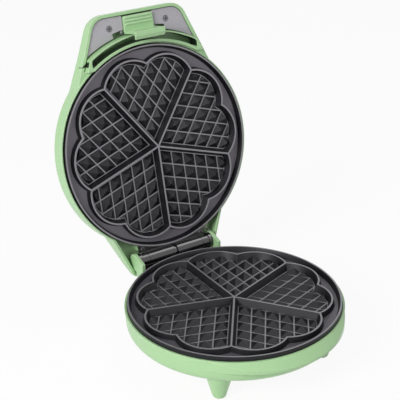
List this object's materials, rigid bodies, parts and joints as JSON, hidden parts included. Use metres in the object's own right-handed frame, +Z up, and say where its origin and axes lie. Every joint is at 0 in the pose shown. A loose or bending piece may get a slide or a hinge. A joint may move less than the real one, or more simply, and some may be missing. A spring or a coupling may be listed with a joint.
{
  "type": "waffle maker",
  "caption": "Round electric waffle maker with heart-shaped baking wells, a hinged domed lid with a handle and a sprung latch, on moulded feet.",
  "frame": {"origin": "centre of the open part's box in plan, at the height the feet stand on", "axes": "+X to the right, +Y towards the hinge, +Z up; the latch and handle side is -Y when the lid is shut"},
  "size_m": [0.1944, 0.2748, 0.2737],
  "materials": {
    "green_shell": "glossy pastel green",
    "pads": "black rubber",
    "plates": "cast, dark non-stick coating",
    "elements": "dull steel tube",
    "bright_sheet": "bright sheet",
    "zinc_steel": "zinc plated",
    "black_metal": "glossy black",
    "grey_cover": "light grey with fine speckle",
    "electric": "off-white",
    "wires": "dark insulation",
    "grommet": "black",
    "red_lens": "clear red",
    "green_lens": "clear green"
  },
  "bodies": {
    "base": {"base_shell": "green_shell", "foot_pads": "pads", "lower_baking_plate": "plates", "lower_heating_element": "elements", "lower_element_clamps": "zinc_steel", "lower_clamp_screws": "zinc_steel", "lower_heat_reflector": "bright_sheet", "lower_plate_screws": "zinc_steel", "base_thermostat": "electric", "thermostat_screws": "zinc_steel", "thermal_fuse": "elements", "terminal_block": "electric", "base_wiring": "wires", "cord_grommet": "grommet", "hinge_base_leaf": "black_metal", "hinge_base_screws": "black_metal", "hinge_pin": "zinc_steel", "hinge_lead": "wires"},
    "lid": {"lid_shell": "green_shell", "upper_baking_plate": "plates", "upper_heating_element": "elements", "upper_element_clamps": "zinc_steel", "upper_clamp_screws": "zinc_steel", "upper_heat_reflector": "bright_sheet", "upper_plate_clips": "zinc_steel", "upper_plate_screws": "zinc_steel", "hinge_lid_leaf": "black_metal", "hinge_lid_screws": "black_metal", "handle_cover": "grey_cover", "handle_cover_screws": "zinc_steel", "latch_pin": "zinc_steel", "latch_spring": "zinc_steel", "power_lamp_lens": "red_lens", "ready_lamp_lens": "green_lens", "lamp_holder": "electric", "lamp_holder_screw": "zinc_steel", "lid_wiring": "wires"},
    "latch": {"latch": "green_shell"}
  },
  "joints": [
    {"name": "lid_hinge", "type": "hinge", "parent": "base", "child": "lid", "pos_m": [0, 0.0696, 0.05025], "axis": [1, 0, 0], "range_deg": [0, 102.7], "deforming": ["hinge_lead"]},
    {"name": "latch_pivot", "type": "hinge", "parent": "lid", "child": "latch", "pos_m": [0, 0.12549, 0.25754], "axis": [1, 0, 0], "range_deg": [-12, 0], "stiffness_Nm_per_rad": 0.05, "springref_deg": 17.19, "deforming": ["latch_spring"]}
  ]
}
